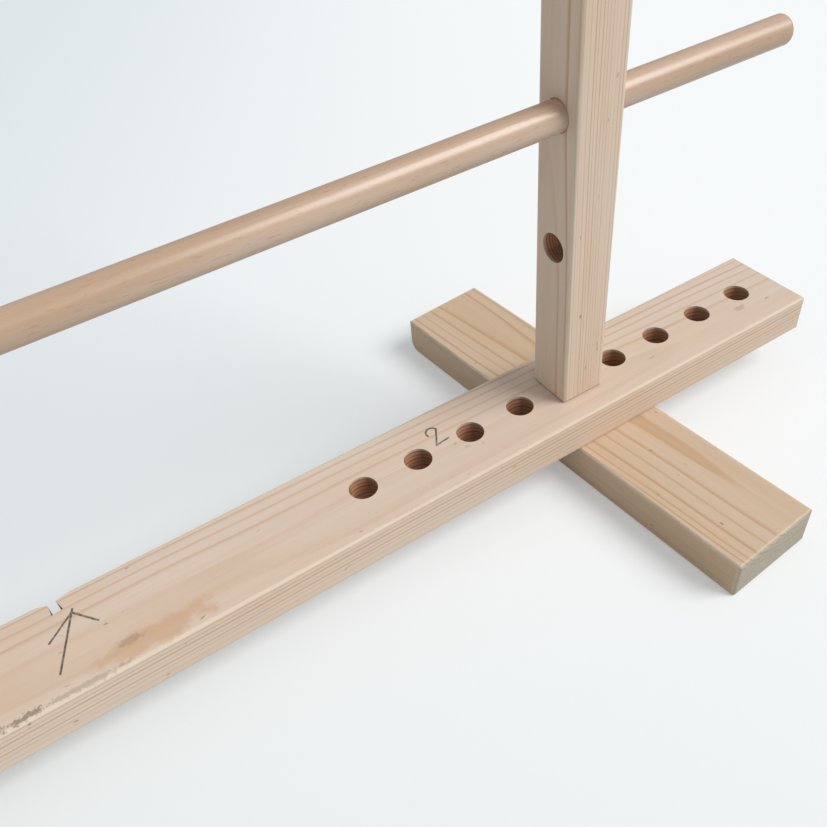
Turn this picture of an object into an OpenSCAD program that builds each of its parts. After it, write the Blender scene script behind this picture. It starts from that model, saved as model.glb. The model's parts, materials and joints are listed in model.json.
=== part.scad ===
// Adjustable blocking board for knitted garments: a wooden frame that stands on two cross feet.
// Two uprights stand on round pegs in a long base beam, and are moved in or out a hole at a time
// to suit the width of the garment. Round rods pass through cross holes in both uprights.
// Origin: the floor, under the middle of the frame. X runs along the beam, Y towards the back.

/* [Timber] */
// Width of the planed timber of the beam and the feet
timber_w = 68; // [60:1:80]
// Thickness of that timber
timber_t = 28; // [26:1:34]
// Radius of the eased long arrises
arris_r = 2; // [1:0.5:3]
// Radius of the rounded corners at the sawn ends
end_r = 3; // [2:0.5:5]

/* [Base beam] */
// Length of the base beam
beam_len = 1080; // [1020:10:1200]
// Number of peg holes at each end of the beam
peg_hole_count = 9; // [5:1:9]
// Distance between peg holes
peg_hole_pitch = 40; // [32:1:42]
// Distance from the end of the beam to its first peg hole
peg_hole_margin = 34; // [24:1:40]
// Diameter of the peg holes
peg_hole_d = 18.2; // [18:0.1:18.6]
// Peg hole that the uprights stand in, counted from the end of the beam
upright_hole = 5; // [2:1:5]
// Depth that the chip in the back arris is broken down to
chip_depth = 16; // [12:1:22]

/* [Feet] */
// Length of each cross foot
foot_len = 320; // [260:10:400]
// Distance from the upright's peg out to the foot's screw
foot_offset = 16; // [14:1:22]
// Angle that the right foot has been turned on its screw
right_foot_turn = 4.5; // [-10:0.5:10]
// Radius of the rounded heel under the back end of each foot
heel_r = 13; // [6:1:16]

/* [Uprights] */
// Side of the square uprights
upright_side = 32; // [30:1:36]
// Height of the uprights above the beam
upright_h = 880; // [600:10:1000]
// Number of rod holes in each upright
rod_hole_count = 10; // [2:1:10]
// Distance between rod holes
rod_hole_pitch = 80; // [40:1:80]
// Height of the lowest rod hole above the beam
rod_hole_first = 112; // [80:1:115]
// Diameter of the rod holes
rod_hole_d = 18.6; // [18.2:0.1:19.5]
// Diameter of the dowel peg under each upright
peg_d = 17.6; // [16:0.1:17.8]
// Length of peg that stands out below the upright
peg_out = 25; // [18:1:26]
// Length of peg that is glued into the upright
peg_in = 40; // [25:1:50]

/* [Rods] */
// Diameter of the rods
rod_d = 18; // [16:0.1:18]
// Length of the rods
rod_len = 996; // [800:2:1200]
// Radius of the eased ends of the rods
rod_end_r = 2.5; // [1:0.5:6]
// Hole that the lower rod is in, counted from the beam
lower_rod_hole = 2; // [1:1:4]

/* [Foot screws] */
// Diameter of the screw's shank
screw_d = 6; // [5:0.5:6]
// Length of the screw under its head
screw_len = 42; // [36:1:44]
// Depth of the counterbore under the foot
counterbore_depth = 8; // [7:0.5:9]

/* [Hidden] */

$fn = 64;
past = 1;            // how far a cutter runs past the face that it opens
glue_gap = 0.05;     // glue line round a peg, and the bite of a thread
bore_gap = 0.08;     // running clearance of a foot on its screw
ease_gap = 0.4;      // how far the end shapes stand clear of the long faces

beam_z = timber_t;                       // underside of the beam
beam_top = 2 * timber_t;                 // the face that the uprights stand on
first_peg_x = beam_len / 2 - peg_hole_margin;
upright_x = first_peg_x - (upright_hole - 1) * peg_hole_pitch;
foot_x = upright_x + foot_offset;
lower_rod_z = beam_top + rod_hole_first + (lower_rod_hole - 1) * rod_hole_pitch;
upper_rod_z = beam_top + rod_hole_first + (rod_hole_count - 1) * rod_hole_pitch;

washer_d = 18;
washer_t = 1.6;
head_d = 12;
head_h = 3.6;
screw_tip = 6;
counterbore_d = 20;
peg_tip_r = 2;

// The chip, seen from above: the back arris is at y = timber_w / 2, and x is from the middle.
chip_outline = [[-4, 40], [-3.4, 34], [-2.3, 31], [-2.1, 22.4], [4.8, 23.4], [2.7, 31], [3.4, 40]];
chip_left = [[-11, 33.9], [-2, 30.6], [-2, 40], [-11, 40]];
chip_right = [[2.6, 31], [13, 33.7], [13, 40], [2.6, 40]];
chip_splinter_depth = 7;

pine = [0.86, 0.74, 0.60];
pine_shade = [0.82, 0.69, 0.55];
beech = [0.80, 0.66, 0.52];
zinc = [0.72, 0.72, 0.70];

// What a round corner of radius r takes off a square one whose corner is at the origin
module corner_waste(r) {
  difference() {
    translate([-past, -past]) square(r + past);
    translate([r, r]) circle(r);
  }
}

// A w by h rectangle, centred, with radii for its corners: low left, low right, top right, top left
module round_rect(w, h, radii) {
  signs = [[-1, -1], [1, -1], [1, 1], [-1, 1]];
  difference() {
    square([w, h], center = true);
    for (i = [0:3])
      translate([signs[i][0] * w / 2, signs[i][1] * h / 2])
        mirror([signs[i][0] > 0 ? 1 : 0, 0])
          mirror([0, signs[i][1] > 0 ? 1 : 0])
            corner_waste(radii[i]);
  }
}

// A bar of section w by h along X, standing on z = 0, with eased arrises and rounded ends.
// tail_r rounds the underside of its -X end.
module eased_bar(len, w, h, tail_r = end_r) {
  intersection() {
    translate([-len / 2 - past, 0, h / 2])
      rotate([90, 0, 90])
        linear_extrude(len + 2 * past) round_rect(w, h, [arris_r, arris_r, arris_r, arris_r]);
    translate([0, 0, -past])
      linear_extrude(h + 2 * past) round_rect(len, w + 2 * ease_gap, [end_r, end_r, end_r, end_r]);
    translate([0, 0, h / 2])
      rotate([90, 0, 0])
        linear_extrude(w + 2 * past, center = true)
          round_rect(len + ease_gap, h + ease_gap, [tail_r, end_r, end_r, end_r]);
  }
}

// A round bar along Z from z = 0, with both ends eased to a radius
module eased_dowel(d, len, r) {
  rotate_extrude()
    difference() {
      square([d / 2, len]);
      translate([d / 2, 0]) mirror([1, 0]) corner_waste(r);
      translate([d / 2, len]) mirror([1, 0]) mirror([0, 1]) corner_waste(r);
    }
}

module chip() {
  translate([0, 0, beam_top - chip_depth]) linear_extrude(chip_depth + past) polygon(chip_outline);
  for (side = [chip_left, chip_right])
    translate([0, 0, beam_top - chip_splinter_depth])
      linear_extrude(chip_splinter_depth + past) polygon(side);
}

module base_beam() {
  color(pine)
    difference() {
      translate([0, 0, beam_z]) eased_bar(beam_len, timber_w, timber_t);
      for (side = [-1, 1], i = [0:peg_hole_count - 1])
        translate([side * (first_peg_x - i * peg_hole_pitch), 0, beam_z - past])
          cylinder(d = peg_hole_d, h = timber_t + 2 * past);
      for (side = [-1, 1])
        translate([side * foot_x, 0, beam_z - past])
          cylinder(d = screw_d + 2 * glue_gap, h = screw_len + counterbore_depth - washer_t - timber_t + 2 * past);
      chip();
    }
}

// A foot lies along Y, with its rounded heel at the back, and turns on a screw in its middle
module foot() {
  difference() {
    rotate([0, 0, -90]) eased_bar(foot_len, timber_w, timber_t, heel_r);
    translate([0, 0, -past]) cylinder(d = screw_d + 2 * bore_gap, h = timber_t + 2 * past);
    translate([0, 0, -past]) cylinder(d = counterbore_d, h = counterbore_depth + past);
  }
}

module left_foot() {
  color(pine_shade) translate([-foot_x, 0, 0]) foot();
}

module right_foot() {
  color(pine_shade) translate([foot_x, 0, 0]) rotate([0, 0, right_foot_turn]) foot();
}

// A domed head, a plain shank and a pointed tip, as a turned profile
module foot_screw() {
  head_z = counterbore_depth - washer_t;
  translate([0, 0, head_z])
    rotate_extrude()
      union() {
        polygon([
          [0, 0], [screw_d / 2, 0], [screw_d / 2, screw_len - screw_tip], [0.6, screw_len], [0, screw_len]
        ]);
        intersection() {
          translate([0, -head_h]) square([head_d / 2, head_h]);
          translate([0, head_d / 2 - head_h + 1.5]) circle(head_d / 2 + 1.5);
        }
      }
}

module foot_screws() {
  color(zinc) for (side = [-1, 1]) translate([side * foot_x, 0, 0]) foot_screw();
}

module foot_washers() {
  color(zinc)
    for (side = [-1, 1])
      translate([side * foot_x, 0, counterbore_depth - washer_t])
        difference() {
          cylinder(d = washer_d, h = washer_t);
          translate([0, 0, -past]) cylinder(d = screw_d + 2 * bore_gap, h = washer_t + 2 * past);
        }
}

// Square post with its column of cross holes and the blind bore for its peg
module upright() {
  difference() {
    translate([0, 0, beam_top])
      rotate([0, -90, 0])
        translate([upright_h / 2, 0, -upright_side / 2])
          eased_bar(upright_h, upright_side, upright_side, arris_r);
    for (i = [0:rod_hole_count - 1])
      translate([-upright_side / 2 - past, 0, beam_top + rod_hole_first + i * rod_hole_pitch])
        rotate([0, 90, 0]) cylinder(d = rod_hole_d, h = upright_side + 2 * past);
    translate([0, 0, beam_top - past]) cylinder(d = peg_d + 2 * glue_gap, h = peg_in + past);
  }
}

module left_upright() {
  color(pine) translate([-upright_x, 0, 0]) upright();
}

module right_upright() {
  color(pine) translate([upright_x, 0, 0]) upright();
}

module peg() {
  translate([0, 0, beam_top - peg_out]) eased_dowel(peg_d, peg_out + peg_in, peg_tip_r);
}

module left_peg() {
  color(beech) translate([-upright_x, 0, 0]) peg();
}

module right_peg() {
  color(beech) translate([upright_x, 0, 0]) peg();
}

module rod_at(z) {
  translate([-rod_len / 2, 0, z]) rotate([0, 90, 0]) eased_dowel(rod_d, rod_len, rod_end_r);
}

module lower_rod() {
  color(beech) rod_at(lower_rod_z);
}

module upper_rod() {
  color(beech) rod_at(upper_rod_z);
}

base_beam();
left_foot();
right_foot();
foot_screws();
foot_washers();
left_upright();
right_upright();
left_peg();
right_peg();
lower_rod();
upper_rod();
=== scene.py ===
"""Finishes, light and camera for an adjustable wooden blocking frame."""

import json
import math
import random
from collections import namedtuple

import bmesh
import bpy
from bpy.props import FloatProperty, FloatVectorProperty, PointerProperty
from bpy.types import Operator, Panel, PropertyGroup
from mathutils import Matrix, Vector

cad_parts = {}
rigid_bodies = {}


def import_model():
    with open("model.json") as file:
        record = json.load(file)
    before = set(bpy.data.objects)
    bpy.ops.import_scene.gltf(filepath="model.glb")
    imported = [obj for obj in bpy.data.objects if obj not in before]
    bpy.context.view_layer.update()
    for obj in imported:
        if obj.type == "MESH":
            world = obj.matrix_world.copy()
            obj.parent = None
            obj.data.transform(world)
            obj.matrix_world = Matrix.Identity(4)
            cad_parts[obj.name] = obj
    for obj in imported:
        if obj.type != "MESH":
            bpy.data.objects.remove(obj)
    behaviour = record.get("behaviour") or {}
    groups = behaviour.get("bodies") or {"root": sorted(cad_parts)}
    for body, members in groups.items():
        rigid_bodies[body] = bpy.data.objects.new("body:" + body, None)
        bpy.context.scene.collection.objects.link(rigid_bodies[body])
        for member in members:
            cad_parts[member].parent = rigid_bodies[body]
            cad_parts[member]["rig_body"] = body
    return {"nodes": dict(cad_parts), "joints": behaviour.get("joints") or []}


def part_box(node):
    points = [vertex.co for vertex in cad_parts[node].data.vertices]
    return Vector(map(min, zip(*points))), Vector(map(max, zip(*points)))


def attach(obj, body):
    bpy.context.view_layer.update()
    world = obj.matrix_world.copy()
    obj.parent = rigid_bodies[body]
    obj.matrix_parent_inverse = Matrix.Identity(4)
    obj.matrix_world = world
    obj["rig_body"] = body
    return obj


bl_info = {
    "name": "Blocking frame looks",
    "version": (1, 0, 0),
    "blender": (4, 5, 0),
    "location": "View3D > Sidebar > Blocking frame",
    "description": "Wood, metal, wear, light and camera for a blocking frame",
    "category": "Material",
}

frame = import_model()

MM = 0.001
NODES = frame["nodes"]
JOINTS = {joint["name"]: joint for joint in frame["joints"]}

# Marks on the beam's top face, in mm from the frame's origin.
PENCIL_DEPTH = 0.6          # how far under the face a pencil line shows in full
NUMERAL_BOWL = (246.0, 14.5)
NUMERAL_BOWL_RADIUS = 4.2
NUMERAL_BASE = ((242.2, 3.2), (251.8, 4.2))
CROWS_FOOT = (
    ((-8.0, 5.0), (8.0, 18.0)),
    ((8.0, 18.0), (19.0, 4.0)),
    ((9.0, 20.0), (-8.0, -17.0)),
)

# A soft-edged blot: its middle and half sizes in mm, how ragged its outline is, what shifts the
# pattern of the outline in metres, and how fine that pattern is.
Blot = namedtuple("Blot", "middle half ragged shift grain")
STAIN = (Blot((42, -23, 56), (38, 9.5, 30), 1.6, 0.0, 95.0),)
SMUDGES = (
    Blot((30, -19, 56), (9, 3, 9), 2.6, 0.3, 240.0),
    Blot((4, -31, 56), (24, 2.2, 9), 3.4, 0.6, 330.0),
    Blot((494, -14, 56), (5, 3, 9), 2.4, 0.9, 300.0),
)
SCUFFS = (Blot((-34, -31, 56), (15, 2.4, 6), 4.8, 1.2, 420.0),)

# Patterns of the timber and the rods, as pattern units per metre along the grain and across it.
PITH_WANDER = (2.6, 9.0)
TIMBER_TINT = (5.0, 26.0)
TIMBER_FIBRES = (22.0, 1500.0)
TIMBER_STREAKS = (7.0, 380.0)
TIMBER_SPECKS = (90.0, 260.0)
ARRIS_WEAR_AND_HIGHLIGHT = (40.0, 120.0)
ROD_TINT = (3.0, 60.0)
ROD_FLECKS = (160.0, 1500.0)
ROD_FIBRES = (14.0, 900.0)

# Where each change begins and where it is complete.
RING_RISE = (0.62, 0.92)                  # shares of a ring's width: late wood darkens slowly
RING_FALL = (0.93, 1.0)                   # and ends sharply
RING_IN_FACE = (0.980, 0.999)             # how squarely a face looks at the pith
END_FACE = (0.45, 0.75)                   # how squarely a face looks along the grain
ARRIS_REACH = (0.6 * MM, 3.4 * MM)        # distance from the arris
BORE_SHADE_REACH = (1.2 * MM, 2.2 * MM)         # distance under the outer faces, for the painted shade and redder wood in the holes
FLOOR_FADE = (-0.60, 0.52)                # metres across the floor, from the dull side to the lit one

FIBRE_COUNT = 44            # torn fibres on the near end of a foot
FIBRE_THICKNESS = 0.5 * MM
FIBRE_CORNER = 3 * MM       # how far the fibres stay from the corners of the foot
FIBRE_INSET = 0.25 * MM     # how far their tips stay behind the sawn face
FIBRE_DEPTH = 0.35 * MM     # how far they lie under the foot's top face

FLOOR_REACH = 9.0           # half the side of the floor, in metres
FLOOR_BOUNCE = 0.90         # share of the floor's left colour that bounced light takes from it
SKY_TINT = (0.93, 0.965, 1.0, 1.0)
SKY_SEEN = 0.88             # strength of the sky where the camera sees it
KEY_TINT = (1.0, 0.985, 0.96)
KEY_SPREAD = math.radians(36)     # how wide the lamp looks from the object
KEY_PLACE = (1.4, -1.6, 2.2)
KEY_DIRECTION = (-0.52, 0.47, -0.71)


def shade(red, green, blue):
    """A screen colour, 0 to 255 a channel, as the linear colour that Blender works in."""
    def linear(value):
        share = value / 255
        return share / 12.92 if share <= 0.04045 else ((share + 0.055) / 1.055) ** 2.4
    return (linear(red), linear(green), linear(blue))


SPECK_BROWN = shade(120, 92, 70)
# Ring lines inside the drilled holes, darkened as painted shade.
SHADED_BORE_RING_BROWN = shade(112, 70, 44)
ROD_FLECK = shade(158, 122, 94)
ROD_END = shade(188, 156, 128)


def darker(colour, share):
    """A colour with every channel multiplied by a share."""
    return [value * share for value in colour]


def colour_property(name, description, default):
    """A colour that a user can change."""
    return FloatVectorProperty(name=name, description=description, subtype="COLOR", size=3,
                               min=0.0, max=1.0, default=default)


def length_property(name, description, default):
    """A length that a user can change."""
    return FloatProperty(name=name, description=description, unit="LENGTH", subtype="DISTANCE",
                         min=0.0, precision=4, default=default)


class BOARD_PG_timber(PropertyGroup):
    """Colours and ring spacing of the planed softwood."""
    pale: colour_property("Early wood", "Pale wood between the ring lines", shade(220, 200, 182))
    line: colour_property("Late wood", "Ring lines of the beam and uprights", shade(190, 143, 102))
    foot_pale: colour_property("Early wood of the feet", "Pale wood of the feet", shade(210, 186, 160))
    foot_line: colour_property("Late wood of the feet", "Ring lines of the feet", shade(186, 144, 102))
    end_grain: colour_property("End grain", "Sawn end grain between its ring lines", shade(172, 162, 144))
    # Painted shade as well as raw wood: this tint darkens and reddens the wood inside drilled holes.
    bore_tint_and_shade: colour_property("Bore walls", "Tint that multiplies the wood inside a drilled hole",
                          (0.82, 0.54, 0.40))
    # Wear and painted highlight: this paler colour along the eased arrises also stands for the light their
    # rounding catches.
    arris: colour_property("Arrises", "Paler wood where the arrises are eased", shade(224, 209, 190))
    beam_ring: length_property("Ring spacing, beam", "Mean width of a growth ring", 3.1 * MM)
    foot_ring: length_property("Ring spacing, feet", "Mean width of a growth ring", 3.6 * MM)
    upright_ring: length_property("Ring spacing, uprights", "Mean width of a growth ring", 2.1 * MM)
    nap: length_property("Nap", "Height of the raised grain", 0.16 * MM)


class BOARD_PG_marks(PropertyGroup):
    """Pencil, stain and dirt on the beam."""
    pencil: colour_property("Pencil", "Graphite on the wood", shade(96, 88, 80))
    pencil_width: length_property("Pencil line", "Width of a pencil line", 1.5 * MM)
    stain: colour_property("Stain", "Resin stain beside the near arris", shade(206, 164, 126))
    dirt: colour_property("Dirt", "Ground-in dirt", shade(104, 84, 66))


class BOARD_PG_rods(PropertyGroup):
    """Colours of the turned hardwood."""
    pale: colour_property("Rod wood", "Pale wood of the rods and pegs", shade(203, 176, 154))
    streak: colour_property("Rod streaks", "Darker streaks along the rods", shade(188, 157, 130))


class BOARD_PG_metal(PropertyGroup):
    """Colour of the screws and washers."""
    zinc: colour_property("Zinc", "Zinc plated steel", (0.62, 0.63, 0.62))


class BOARD_PG_stage(PropertyGroup):
    """Camera, light and floor."""
    camera_place: FloatVectorProperty(
        name="Camera", description="Where the camera stands",
        size=3, unit="LENGTH", subtype="TRANSLATION", precision=4, default=(0.0485, -0.3339, 0.4506))
    camera_turn: FloatVectorProperty(
        name="Camera turn", description="The camera's turn about X, Y and Z",
        size=3, unit="ROTATION", subtype="EULER",
        default=[math.radians(angle) for angle in (46.617, 4.747, -32.527)])
    camera_lens: FloatProperty(
        name="Lens", description="Focal length on a 36 mm wide sensor, in mm",
        min=10.0, max=200.0, default=37.845)
    key_power: FloatProperty(
        name="Key light", description="Strength of the soft lamp, in W per square metre",
        min=0.0, default=2.40)
    sky: FloatProperty(
        name="Sky", description="Strength of the even light from all round",
        min=0.0, max=2.0, default=0.46)
    glow: FloatProperty(
        name="Floor glow", description="Share of the floor's look that shadows can't darken",
        min=0.0, max=0.9, default=0.26)
    floor_shaded: colour_property("Floor, left", "Floor on the side away from the lamp",
                                  shade(225, 232, 235))
    floor_lit: colour_property("Floor, right", "Floor on the lamp's side", shade(249, 251, 252))


class Graph:
    """Short calls that add and link one material's shader nodes."""

    def __init__(self, name):
        self.material = bpy.data.materials.new(name)
        self.material.use_nodes = True
        self.tree = self.material.node_tree
        self.tree.nodes.clear()

    def add(self, kind, **settings):
        """A new node with its settings."""
        node = self.tree.nodes.new(kind)
        for key, value in settings.items():
            setattr(node, key, value)
        return node

    def put(self, socket, value):
        """Links a socket to another, or gives it a fixed value."""
        if isinstance(value, bpy.types.NodeSocket):
            self.tree.links.new(value, socket)
        elif socket.type == "RGBA":
            socket.default_value = (*value[:3], 1.0)
        else:
            socket.default_value = value

    def math(self, operation, first, second=0.0, clamp=False):
        node = self.add("ShaderNodeMath", operation=operation, use_clamp=clamp)
        self.put(node.inputs[0], first)
        self.put(node.inputs[1], second)
        return node.outputs[0]

    def plus(self, first, second):
        return self.math("ADD", first, second)

    def minus(self, first, second):
        return self.math("SUBTRACT", first, second)

    def times(self, first, second):
        return self.math("MULTIPLY", first, second)

    def least(self, first, second):
        return self.math("MINIMUM", first, second)

    def most(self, first, second):
        return self.math("MAXIMUM", first, second)

    def unsigned(self, value):
        return self.math("ABSOLUTE", value)

    def vector(self, operation, first, second=(0, 0, 0), result="Vector"):
        node = self.add("ShaderNodeVectorMath", operation=operation)
        self.put(node.inputs[0], first)
        self.put(node.inputs[1], second)
        return node.outputs[result]

    def scaled(self, vector, factor):
        node = self.add("ShaderNodeVectorMath", operation="SCALE")
        self.put(node.inputs[0], vector)
        self.put(node.inputs["Scale"], factor)
        return node.outputs[0]

    def combine(self, first, second, third):
        node = self.add("ShaderNodeCombineXYZ")
        for socket, value in zip(node.inputs, (first, second, third)):
            self.put(socket, value)
        return node.outputs[0]

    def separate(self, vector):
        node = self.add("ShaderNodeSeparateXYZ")
        self.put(node.inputs[0], vector)
        return node.outputs[0], node.outputs[1], node.outputs[2]

    def noise(self, vector, scale=1.0, detail=2.0, roughness=0.5, result="Fac"):
        node = self.add("ShaderNodeTexNoise")
        self.put(node.inputs["Vector"], vector)
        self.put(node.inputs["Scale"], scale)
        self.put(node.inputs["Detail"], detail)
        self.put(node.inputs["Roughness"], roughness)
        return node.outputs[result]

    def smooth(self, value, low, high, out_low=0.0, out_high=1.0):
        """An S-shaped change from out_low to out_high while the value goes from low to high."""
        node = self.add("ShaderNodeMapRange", interpolation_type="SMOOTHSTEP")
        for socket, number in zip(node.inputs, (value, low, high, out_low, out_high)):
            self.put(socket, number)
        return node.outputs[0]

    def mix(self, factor, first, second, blend="MIX"):
        node = self.add("ShaderNodeMix", data_type="RGBA", blend_type=blend)
        node.clamp_factor = True
        self.put(node.inputs[0], factor)
        self.put(node.inputs[6], first)
        self.put(node.inputs[7], second)
        return node.outputs[2]

    def tinted(self, colour, grey):
        """A colour multiplied by a grey."""
        return self.mix(1.0, colour, self.combine(grey, grey, grey), "MULTIPLY")

    def shader(self, colour, roughness, height, bump_distance, metallic=0.0, specular=0.4):
        """Finishes the material and returns it."""
        bsdf = self.add("ShaderNodeBsdfPrincipled")
        self.put(bsdf.inputs["Base Color"], colour)
        self.put(bsdf.inputs["Roughness"], roughness)
        self.put(bsdf.inputs["Metallic"], metallic)
        self.put(bsdf.inputs["Specular IOR Level"], specular)
        bump = self.add("ShaderNodeBump")
        self.put(bump.inputs["Strength"], 1.0)
        self.put(bump.inputs["Distance"], bump_distance)
        self.put(bump.inputs["Height"], height)
        self.put(bsdf.inputs["Normal"], bump.outputs[0])
        output = self.add("ShaderNodeOutputMaterial")
        self.put(output.inputs["Surface"], bsdf.outputs[0])
        return self.material


def centre_and_half(node, turn=0.0):
    """Middle and half sizes of a CAD node, measured square to the piece when it is turned about Z."""
    low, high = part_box(node)
    middle = (low + high) / 2
    back = Matrix.Rotation(-turn, 3, "Z")
    corners = [back @ (vertex.co - middle) for vertex in NODES[node].data.vertices]
    half = Vector(max(abs(corner[axis]) for corner in corners) for axis in range(3))
    return middle, half


class Timber:
    """One piece as solid wood: rings about a pith line that runs outside the piece.

    along is the axis of its grain, and the pith's place is given across the grain, from the piece's
    middle. The pith drifts and leans along the piece, and tighten crowds the rings that are farther
    from the pith than the piece's middle is.
    """

    def __init__(self, name, node, along, pith, ring, drift, seed, lean=(0.0, 0.0), turn=0.0,
                 tighten=0.0):
        self.graph = Graph(name)
        self.middle, self.half = centre_and_half(node, turn)
        self.along, self.turn = along, turn
        self.pith, self.ring, self.tighten = pith, ring, tighten
        self.drift, self.lean, self.seed = drift, lean, seed
        self.find_place()
        self.find_rings()
        self.find_surface()

    def in_piece(self, vector):
        """Turns a vector to the piece's own length, width and thickness."""
        graph = self.graph
        if self.turn:
            rotate = graph.add("ShaderNodeVectorRotate", rotation_type="Z_AXIS")
            graph.put(rotate.inputs["Vector"], vector)
            graph.put(rotate.inputs["Angle"], -self.turn)
            vector = rotate.outputs[0]
        x, y, z = graph.separate(vector)
        return {"X": (x, y, z), "Y": (y, x, z), "Z": (z, x, y)}[self.along]

    def find_place(self):
        """Where a point is in the piece, and which way its face looks."""
        source = self.graph.add("ShaderNodeTexCoord")
        self.place = source.outputs["Object"]
        local = self.graph.vector("SUBTRACT", self.place, tuple(self.middle))
        self.length, self.width, self.thick = self.in_piece(local)
        self.normal = self.in_piece(source.outputs["Normal"])

    def stretched(self, pattern):
        """Coordinates for a pattern that is drawn out along the grain."""
        graph = self.graph
        along, across = pattern
        return graph.combine(
            graph.plus(graph.times(self.length, along), self.seed),
            graph.times(self.width, across),
            graph.times(self.thick, across),
        )

    def from_pith(self):
        """How far a point is from the wandering pith line, across the width and the thickness."""
        graph = self.graph
        wander = graph.noise(self.stretched(PITH_WANDER), result="Color")
        wander = graph.scaled(graph.vector("SUBTRACT", wander, (0.5, 0.5, 0.5)), 2 * self.drift)
        across_width, across_thick, _ = graph.separate(wander)
        offsets = []
        for place, pith, lean, shift in (
            (self.width, self.pith[0], self.lean[0], across_width),
            (self.thick, self.pith[1], self.lean[1], across_thick),
        ):
            offset = graph.plus(graph.minus(place, pith), shift)
            offsets.append(graph.plus(offset, graph.times(self.length, lean)))
        return offsets

    def find_rings(self):
        """Sets late, which is 0 in pale early wood and up to 1 on a ring line."""
        graph = self.graph
        offsets = self.from_pith()
        radius = graph.vector("LENGTH", graph.combine(*offsets, 0.0), result="Value")
        uneven = graph.noise(graph.combine(graph.times(radius, 0.22 / self.ring), self.seed, 0.0))
        radius = graph.plus(radius, graph.times(graph.minus(uneven, 0.5), 2.4 * self.ring))
        rings = graph.math("DIVIDE", radius, self.ring)
        if self.tighten:
            outer = graph.most(graph.minus(radius, math.hypot(*self.pith)), 0.0)
            rings = graph.plus(rings, graph.times(graph.times(outer, outer), self.tighten))
        share = graph.math("FRACT", rings)
        rise = graph.smooth(share, *RING_RISE)
        fall = graph.smooth(share, *RING_FALL, 1.0, 0.0)
        by_ring = graph.add("ShaderNodeTexWhiteNoise", noise_dimensions="1D")
        graph.put(by_ring.inputs["W"], graph.plus(graph.math("FLOOR", rings), self.seed))
        strength = graph.smooth(by_ring.outputs["Value"], 0.0, 1.0, 0.35, 1.0)
        # Where a ring lies flat in a face, its line would be a broad dark patch, so it is fainter.
        facing = graph.plus(graph.times(offsets[0], self.normal[1]),
                            graph.times(offsets[1], self.normal[2]))
        facing = graph.math("DIVIDE", graph.unsigned(facing), radius)
        strength = graph.times(strength, graph.smooth(facing, *RING_IN_FACE, 1.0, 0.25))
        self.late = graph.times(graph.times(rise, fall), strength)

    def find_surface(self):
        """Distances to the outer faces, for the arrises, the sawn ends and the drilled walls."""
        graph = self.graph
        order = {"X": (0, 1, 2), "Y": (1, 0, 2), "Z": (2, 0, 1)}[self.along]
        end_gap, side_gap, face_gap = [
            graph.minus(self.half[axis], graph.unsigned(place))
            for axis, place in zip(order, (self.length, self.width, self.thick))
        ]
        nearer = graph.least(side_gap, face_gap)
        farther = graph.most(side_gap, face_gap)
        self.depth = graph.least(nearer, end_gap)
        self.arris_gap = graph.most(nearer, graph.least(farther, end_gap))
        self.end = graph.smooth(graph.unsigned(self.normal[0]), *END_FACE)

    def long_grain(self, pale, line, line_share):
        """Ring lines on pale wood that is tinted in long patches, with fibres and a few dark specks.

        It keeps the fibres, because finish raises the nap along them.
        """
        graph = self.graph
        tint = graph.noise(self.stretched(TIMBER_TINT), detail=3.0)
        warmer = [value * share for value, share in zip(pale, (0.97, 0.92, 0.86))]
        colour = graph.mix(graph.smooth(tint, 0.35, 0.70), pale, warmer)
        colour = graph.mix(graph.times(self.late, line_share), colour, line)
        self.fibre = graph.noise(self.stretched(TIMBER_FIBRES), detail=3.0, roughness=0.6)
        streak = graph.noise(self.stretched(TIMBER_STREAKS), detail=2.0)
        grey = graph.plus(graph.times(self.fibre, 0.16), graph.times(streak, 0.12))
        colour = graph.tinted(colour, graph.plus(grey, 0.86))
        speck = graph.noise(self.stretched(TIMBER_SPECKS), detail=1.0)
        return graph.mix(graph.smooth(speck, 0.755, 0.80, 0.0, 0.55), colour, SPECK_BROWN)

    def arris_highlight_and_wear(self, colour, arris):
        """Paler wood in uneven patches along the arrises: wear, and a painted highlight where their
        rounding catches the light.
        """
        graph = self.graph
        wear_and_highlight = graph.noise(self.stretched(ARRIS_WEAR_AND_HIGHLIGHT), detail=2.0)
        share = graph.times(graph.smooth(self.arris_gap, *ARRIS_REACH, 1.0, 0.0),
                            graph.smooth(wear_and_highlight, 0.25, 0.6, 0.12, 0.55))
        return graph.mix(share, colour, arris)

    def sawn_ends(self, colour, end_grain):
        """Ring arcs and open pores on the faces that cut across the grain."""
        graph = self.graph
        pores = graph.noise(self.place, scale=1400.0, detail=2.0)
        sawn = graph.mix(graph.times(self.late, 0.9), end_grain, darker(end_grain, 0.45))
        sawn = graph.mix(graph.smooth(pores, 0.40, 0.66), sawn, darker(end_grain, 1.22))
        return graph.mix(self.end, colour, sawn)

    def shade_and_tint_bores(self, colour, bore_tint_and_shade):
        """Painted shade and redder raw wood, with dark ring lines, where a point is deeper than any outer
        face.
        """
        graph = self.graph
        inside = graph.smooth(self.depth, *BORE_SHADE_REACH)
        walls = graph.mix(1.0, colour, bore_tint_and_shade, "MULTIPLY")
        walls = graph.mix(graph.times(self.late, 0.7), walls, SHADED_BORE_RING_BROWN)
        return graph.mix(inside, colour, walls)

    def colour(self, timber, pale, line, line_share, drilled):
        """The wood's colour at every point of the piece, with painted shade in drilled holes and a painted
        highlight on the arrises.
        """
        colour = self.long_grain(pale, line, line_share)
        colour = self.arris_highlight_and_wear(colour, timber.arris)
        colour = self.sawn_ends(colour, timber.end_grain)
        # Drilled pieces get painted shade and redder wood inside their holes.
        return self.shade_and_tint_bores(colour, timber.bore_tint_and_shade) if drilled else colour

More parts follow.
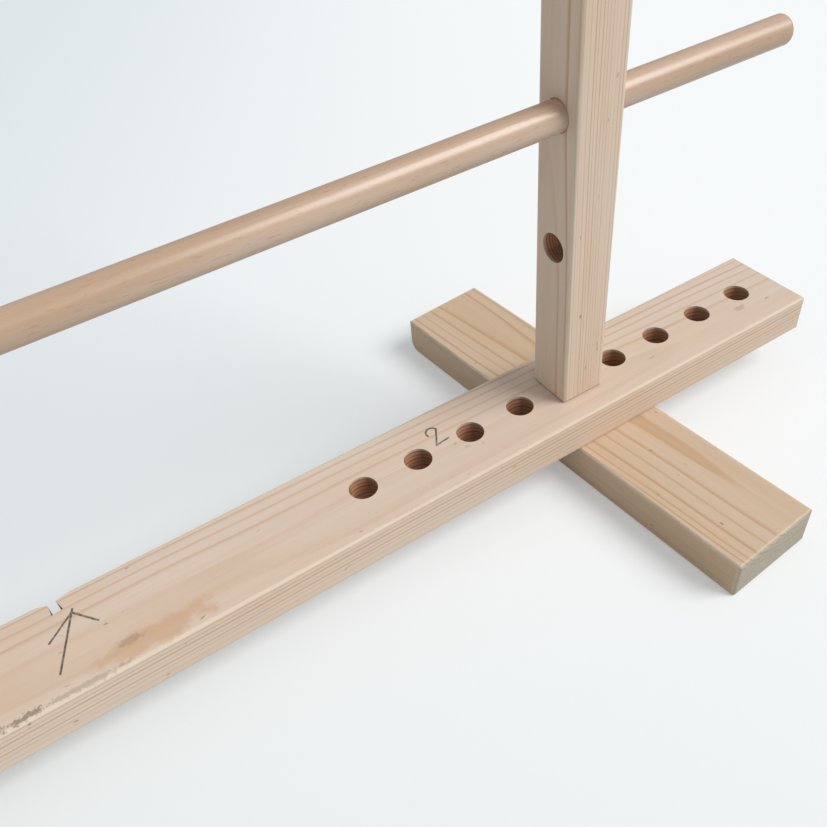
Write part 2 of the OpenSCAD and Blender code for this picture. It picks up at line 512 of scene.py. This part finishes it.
    def finish(self, colour, nap):
        """Planed wood: raised fibres and ring lines, and a matt face."""
        graph = self.graph
        height = graph.plus(graph.times(self.fibre, 0.8), graph.times(self.late, 0.5))
        rough = graph.plus(graph.times(self.fibre, 0.12), 0.56)
        return graph.shader(colour, rough, height, nap, specular=0.3)


def dress(node, material):
    """Gives a carried-over CAD node its material."""
    piece = NODES[node]
    piece.data.materials.clear()
    piece.data.materials.append(material)
    for face in piece.data.polygons:
        face.material_index = 0


def in_metres(place):
    """A place given in mm, in metres."""
    return tuple(value * MM for value in place)


def stroke(graph, place, start, end, width):
    """How dark a straight pencil stroke is at a place on the beam's top face."""
    start = Vector((*in_metres(start), 0.0))
    run = Vector((*in_metres(end), 0.0)) - start
    x, y, _ = graph.separate(place)
    offset = graph.vector("SUBTRACT", graph.combine(x, y, 0.0), tuple(start))
    share = graph.math("DIVIDE", graph.vector("DOT_PRODUCT", offset, tuple(run), "Value"),
                       run.length_squared, clamp=True)
    away = graph.vector("DISTANCE", offset, graph.scaled(tuple(run), share), "Value")
    return graph.smooth(away, 0.25 * width, 0.62 * width, 1.0, 0.0)


def arc_points(centre, radius, first, last, count):
    """Points along an arc, angles in degrees."""
    angles = [math.radians(first + (last - first) * step / count) for step in range(count + 1)]
    return [(centre[0] + radius * math.cos(angle), centre[1] + radius * math.sin(angle))
            for angle in angles]


def pencil_marks(graph, place, width):
    """A numeral two beside a hole, and a crow's foot near the beam's middle."""
    bowl = arc_points(NUMERAL_BOWL, NUMERAL_BOWL_RADIUS, 200.0, 20.0, 6)
    lines = [*zip(bowl, bowl[1:]), (bowl[-1], NUMERAL_BASE[0]), NUMERAL_BASE, *CROWS_FOOT]
    dark = 0.0
    for start, end in lines:
        dark = graph.most(dark, stroke(graph, place, start, end, width))
    return dark


def blots(graph, place, shapes):
    """How much a place is covered by some soft-edged, ragged blots."""
    cover = 0.0
    for shape in shapes:
        offset = graph.vector("SUBTRACT", place, in_metres(shape.middle))
        offset = graph.vector("DIVIDE", offset, in_metres(shape.half))
        away = graph.vector("LENGTH", offset, result="Value")
        shifted = graph.vector("ADD", place, (shape.shift, shape.shift, 0.0))
        wander = graph.noise(shifted, scale=shape.grain, detail=5.0, roughness=0.65)
        away = graph.plus(away, graph.times(graph.minus(wander, 0.5), shape.ragged))
        cover = graph.most(cover, graph.smooth(away, 0.55, 1.05, 1.0, 0.0))
    return cover


class BOARD_OT_dress_beam(Operator):
    """Finishes the base beam: rings, bore walls, pencil marks, a stain and ground-in dirt"""
    bl_idname = "board.dress_beam"
    bl_label = "Dress the beam"

    def execute(self, context):
        timber = context.scene.board_timber
        marks = context.scene.board_marks
        wood = Timber("beam pine", "base_beam", "X", pith=(-11 * MM, -76 * MM), ring=timber.beam_ring,
                      lean=(0.022, 0.003), drift=3.5 * MM, seed=3.7)
        graph = wood.graph
        colour = wood.colour(timber, timber.pale, timber.line, line_share=0.85, drilled=True)
        for shapes, share, tint in (
            (STAIN, 0.62, marks.stain),
            (SMUDGES, 0.26, marks.dirt),
            (SCUFFS, 0.60, marks.dirt),
        ):
            colour = graph.mix(graph.times(blots(graph, wood.place, shapes), share), colour, tint)
        depth = PENCIL_DEPTH * MM
        on_top = graph.smooth(wood.thick, wood.half[2] - 2 * depth, wood.half[2] - depth)
        grit = graph.noise(wood.place, scale=900.0, detail=2.0)
        pencil = graph.times(pencil_marks(graph, wood.place, marks.pencil_width),
                             graph.smooth(grit, 0.30, 0.55, 0.55, 1.0))
        colour = graph.mix(graph.times(pencil, on_top), colour, marks.pencil)
        dress("base_beam", wood.finish(colour, timber.nap))
        return {"FINISHED"}


class BOARD_OT_dress_feet(Operator):
    """Finishes the cross feet: wide rings above, tight rings below, sawn ends with torn fibres"""
    bl_idname = "board.dress_feet"
    bl_label = "Dress the feet"

    def execute(self, context):
        timber = context.scene.board_timber
        # A foot swings equally far either way from square, so its limits tell how it now stands.
        limits = JOINTS["right_foot_swivel"]["range_deg"]
        right_turn = -math.radians(sum(limits) / 2)
        for node, turn, seed in (("right_foot", right_turn, 11.3), ("left_foot", 0.0, 5.9)):
            wood = Timber(node + " pine", node, "Y", pith=(13 * MM, 62 * MM), ring=timber.foot_ring,
                          turn=turn, tighten=17000.0, drift=6 * MM, lean=(0.028, 0.010), seed=seed)
            colour = wood.colour(timber, timber.foot_pale, timber.foot_line, line_share=0.9, drilled=False)
            material = wood.finish(colour, timber.nap)
            dress(node, material)
            torn = torn_fibres(node + "_torn_fibres", wood.middle, wood.half, turn, int(seed))
            torn.data.materials.append(material)
            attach(torn, NODES[node]["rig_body"])
        return {"FINISHED"}


def torn_fibres(name, middle, half, turn, seed):
    """Slivers of torn wood at the sawn near end of a foot, in its rounded top edge."""
    rng = random.Random(seed)
    mesh = bmesh.new()
    span = 2 * (half.x - FIBRE_CORNER)
    for number in range(FIBRE_COUNT):
        across = -span / 2 + span * (number + rng.random()) / FIBRE_COUNT
        width = rng.uniform(0.5, 1.7) * MM
        length = rng.uniform(1.5, 4.5) * MM
        drop = rng.uniform(0.4, 2.2) * MM
        corners = bmesh.ops.create_cube(mesh, size=1.0)["verts"]
        bmesh.ops.scale(mesh, vec=(width, length, FIBRE_THICKNESS), verts=corners)
        for vertex in corners:
            if vertex.co.y < 0:
                vertex.co.x *= 0.35
                vertex.co.z = vertex.co.z * 0.3 - drop
        reach = -half.y + length / 2 + FIBRE_INSET
        height = half.z - FIBRE_DEPTH - rng.random() * 0.3 * MM
        bmesh.ops.translate(mesh, vec=(across, reach, height), verts=corners)
    bmesh.ops.rotate(mesh, cent=(0, 0, 0), matrix=Matrix.Rotation(turn, 3, "Z"), verts=mesh.verts)
    bmesh.ops.translate(mesh, vec=middle, verts=mesh.verts)
    bmesh.ops.recalc_face_normals(mesh, faces=mesh.faces)
    return new_object(name, mesh)


def new_object(name, mesh):
    """An object in the scene made from a bmesh, which it frees."""
    data = bpy.data.meshes.new(name)
    mesh.to_mesh(data)
    mesh.free()
    piece = bpy.data.objects.new(name, data)
    bpy.context.scene.collection.objects.link(piece)
    return piece


class BOARD_OT_dress_uprights(Operator):
    """Finishes the square uprights: close straight grain on the front, plainer sides"""
    bl_idname = "board.dress_uprights"
    bl_label = "Dress the uprights"

    def execute(self, context):
        timber = context.scene.board_timber
        for node, seed in (("right_upright", 2.1), ("left_upright", 8.4)):
            wood = Timber(node + " pine", node, "Z", pith=(-88 * MM, 7 * MM), ring=timber.upright_ring,
                          drift=2.5 * MM, lean=(0.006, 0.004), seed=seed)
            colour = wood.colour(timber, timber.pale, timber.line, line_share=0.7, drilled=True)
            dress(node, wood.finish(colour, timber.nap))
        return {"FINISHED"}


class BOARD_OT_dress_rods(Operator):
    """Finishes the rods and pegs: smooth turned hardwood with long streaks and short flecks"""
    bl_idname = "board.dress_rods"
    bl_label = "Dress the rods"

    def execute(self, context):
        rods = context.scene.board_rods
        for node, along, seed in (
            ("lower_rod", "X", 1.3),
            ("upper_rod", "X", 6.1),
            ("right_peg", "Z", 4.4),
            ("left_peg", "Z", 9.2),
        ):
            wood = Timber(node + " beech", node, along, pith=(-40 * MM, -55 * MM), ring=1.9 * MM,
                          seed=seed, drift=1.5 * MM)
            graph = wood.graph
            broad = graph.noise(wood.stretched(ROD_TINT), detail=3.0)
            colour = graph.mix(graph.smooth(broad, 0.35, 0.68), rods.pale, rods.streak)
            colour = graph.mix(graph.times(wood.late, 0.22), colour, rods.streak)
            fleck = graph.noise(wood.stretched(ROD_FLECKS), detail=1.0)
            colour = graph.mix(graph.smooth(fleck, 0.62, 0.75, 0.0, 0.45), colour, ROD_FLECK)
            fibre = graph.noise(wood.stretched(ROD_FIBRES), detail=2.0)
            colour = graph.tinted(colour, graph.plus(graph.times(fibre, 0.14), 0.93))
            colour = graph.mix(graph.times(wood.end, 0.5), colour, ROD_END)
            rough = graph.plus(graph.times(fibre, 0.12), 0.28)
            dress(node, graph.shader(colour, rough, fibre, 0.04 * MM, specular=0.75))
        return {"FINISHED"}


class BOARD_OT_dress_metal(Operator):
    """Finishes the screws and washers under the feet"""
    bl_idname = "board.dress_metal"
    bl_label = "Dress the screws and washers"

    def execute(self, context):
        zinc = context.scene.board_metal.zinc
        graph = Graph("zinc plate")
        place = graph.add("ShaderNodeTexCoord").outputs["Object"]
        bloom = graph.noise(place, scale=420.0, detail=4.0)
        scratch = graph.noise(graph.vector("MULTIPLY", place, (2600.0, 180.0, 900.0)), detail=2.0)
        colour = graph.mix(graph.smooth(bloom, 0.35, 0.70), zinc, darker(zinc, 0.78))
        rough = graph.plus(graph.times(scratch, 0.25), 0.26)
        material = graph.shader(colour, rough, scratch, 0.02 * MM, metallic=1.0)
        for node in ("foot_screws", "foot_washers"):
            dress(node, material)
        return {"FINISHED"}


class BOARD_OT_set_stage(Operator):
    """Sets the pale floor, the soft light and the camera"""
    bl_idname = "board.set_stage"
    bl_label = "Set the stage"

    def execute(self, context):
        scene = context.scene
        stage = scene.board_stage
        scene.view_settings.view_transform = "Standard"
        self.make_floor(stage)
        self.make_sky(scene, stage)
        self.make_key(scene, stage)
        self.make_camera(scene, stage)
        return {"FINISHED"}

    def make_floor(self, stage):
        """A wide floor that is palest towards the right, where the lamp is."""
        mesh = bmesh.new()
        bmesh.ops.create_grid(mesh, x_segments=2, y_segments=2, size=FLOOR_REACH)
        floor = new_object("floor", mesh)
        graph = Graph("pale floor")
        x, y, _ = graph.separate(graph.add("ShaderNodeTexCoord").outputs["Object"])
        across = graph.minus(x, graph.times(graph.unsigned(y), 0.62))
        colour = graph.mix(graph.smooth(across, *FLOOR_FADE), stage.floor_shaded, stage.floor_lit)
        seen = graph.add("ShaderNodeLightPath").outputs["Is Camera Ray"]
        diffuse = graph.add("ShaderNodeBsdfDiffuse")
        bounced = darker(stage.floor_shaded, FLOOR_BOUNCE)
        graph.put(diffuse.inputs["Color"], graph.mix(seen, bounced, colour))
        glow = graph.add("ShaderNodeEmission")
        graph.put(glow.inputs["Color"], colour)
        blend = graph.add("ShaderNodeMixShader")
        graph.put(blend.inputs[0], graph.times(seen, stage.glow))
        graph.put(blend.inputs[1], diffuse.outputs[0])
        graph.put(blend.inputs[2], glow.outputs[0])
        output = graph.add("ShaderNodeOutputMaterial")
        graph.put(output.inputs["Surface"], blend.outputs[0])
        floor.data.materials.append(graph.material)

    def make_sky(self, scene, stage):
        """Even light from all round, which looks pale to the camera."""
        world = bpy.data.worlds.new("studio")
        scene.world = world
        world.use_nodes = True
        tree = world.node_tree
        sky = tree.nodes["Background"]
        sky.inputs["Color"].default_value = SKY_TINT
        seen = tree.nodes.new("ShaderNodeLightPath").outputs["Is Camera Ray"]
        strength = tree.nodes.new("ShaderNodeMapRange")
        strength.inputs["To Min"].default_value = stage.sky
        strength.inputs["To Max"].default_value = SKY_SEEN
        tree.links.new(seen, strength.inputs["Value"])
        tree.links.new(strength.outputs[0], sky.inputs["Strength"])

    def make_key(self, scene, stage):
        """One soft lamp from the front right."""
        lamp = bpy.data.lights.new("key", "SUN")
        lamp.angle = KEY_SPREAD
        lamp.energy = stage.key_power
        lamp.color = KEY_TINT
        key = bpy.data.objects.new("key", lamp)
        key.location = KEY_PLACE
        key.rotation_euler = Vector(KEY_DIRECTION).to_track_quat("-Z", "Y").to_euler()
        scene.collection.objects.link(key)

    def make_camera(self, scene, stage):
        """The camera, close above the beam's near side."""
        lens = bpy.data.cameras.new("camera")
        lens.sensor_width = 36.0
        lens.lens = stage.camera_lens
        lens.clip_start = 0.01
        camera = bpy.data.objects.new("camera", lens)
        camera.location = stage.camera_place
        camera.rotation_euler = stage.camera_turn
        scene.collection.objects.link(camera)
        scene.camera = camera


class BOARD_PT_looks(Panel):
    """Lists what dresses the frame"""
    bl_idname = "BOARD_PT_looks"
    bl_label = "Blocking frame"
    bl_space_type = "VIEW_3D"
    bl_region_type = "UI"
    bl_category = "Blocking frame"

    def draw(self, context):
        for operator in OPERATORS:
            self.layout.operator(operator.bl_idname)
        for name, group in SETTINGS.items():
            box = self.layout.box()
            for key in group.__annotations__:
                box.prop(getattr(context.scene, name), key)


SETTINGS = {
    "board_timber": BOARD_PG_timber,
    "board_marks": BOARD_PG_marks,
    "board_rods": BOARD_PG_rods,
    "board_metal": BOARD_PG_metal,
    "board_stage": BOARD_PG_stage,
}
OPERATORS = (
    BOARD_OT_set_stage,
    BOARD_OT_dress_beam,
    BOARD_OT_dress_feet,
    BOARD_OT_dress_uprights,
    BOARD_OT_dress_rods,
    BOARD_OT_dress_metal,
)


def register():
    for name, group in SETTINGS.items():
        bpy.utils.register_class(group)
        setattr(bpy.types.Scene, name, PointerProperty(type=group))
    for operator in OPERATORS:
        bpy.utils.register_class(operator)
    bpy.utils.register_class(BOARD_PT_looks)


def unregister():
    bpy.utils.unregister_class(BOARD_PT_looks)
    for operator in reversed(OPERATORS):
        bpy.utils.unregister_class(operator)
    for name, group in SETTINGS.items():
        delattr(bpy.types.Scene, name)
        bpy.utils.unregister_class(group)


def main():
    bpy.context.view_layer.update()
    register()
    bpy.ops.board.set_stage()
    bpy.ops.board.dress_beam()
    bpy.ops.board.dress_feet()
    bpy.ops.board.dress_uprights()
    bpy.ops.board.dress_rods()
    bpy.ops.board.dress_metal()


if __name__ == "__main__":
    main()
